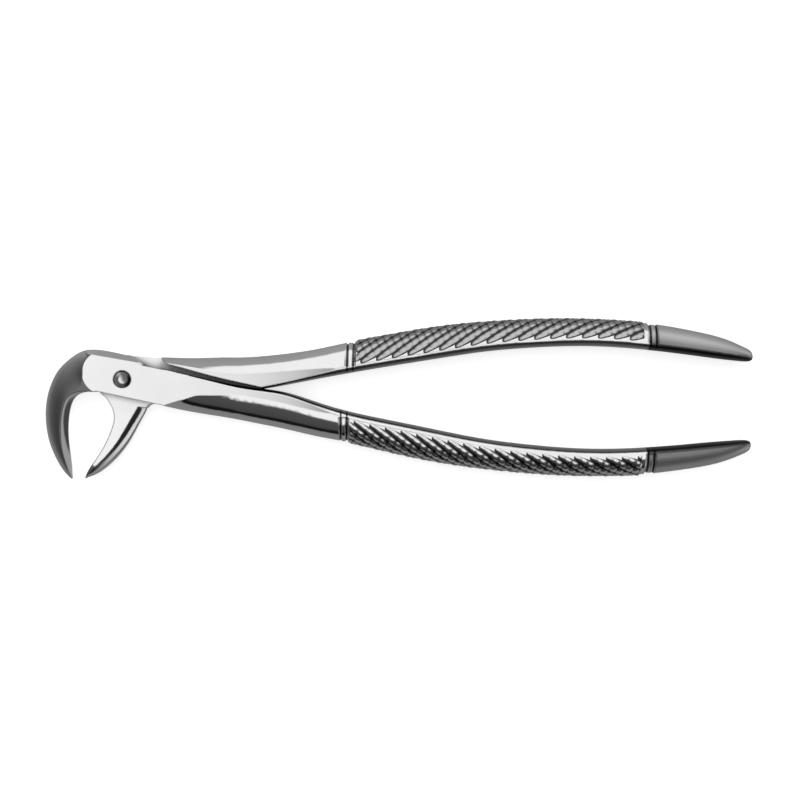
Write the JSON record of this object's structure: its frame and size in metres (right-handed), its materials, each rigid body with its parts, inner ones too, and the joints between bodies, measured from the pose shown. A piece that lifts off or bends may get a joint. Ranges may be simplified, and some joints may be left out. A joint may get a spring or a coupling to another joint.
{
  "type": "extraction forceps",
  "caption": "Lower molar extraction forceps: two crossed steel levers on a pivot pin, hooked pointed beaks, long bowed handles with ringed grips",
  "frame": {"origin": "On the pivot's axis, on the flat rear face of the joint that the forceps lies on", "axes": "+X runs from the joint along the handles, +Y points to the rear lever's handle, away from the beak tips, and +Z is the pivot's axis, out of the front face"},
  "size_m": [0.1758, 0.0426, 0.0102],
  "materials": {
    "lever_steel": "polished",
    "pin_steel": "polished"
  },
  "bodies": {
    "rear_body": {"rear_lever": "lever_steel", "pivot_pin": "pin_steel"},
    "front_body": {"front_lever": "lever_steel"}
  },
  "joints": [
    {"name": "pivot", "type": "hinge", "parent": "rear_body", "child": "front_body", "pos_m": [0, 0, 0.005], "axis": [0, 0, -1], "range_deg": [-0.25, 18]}
  ]
}
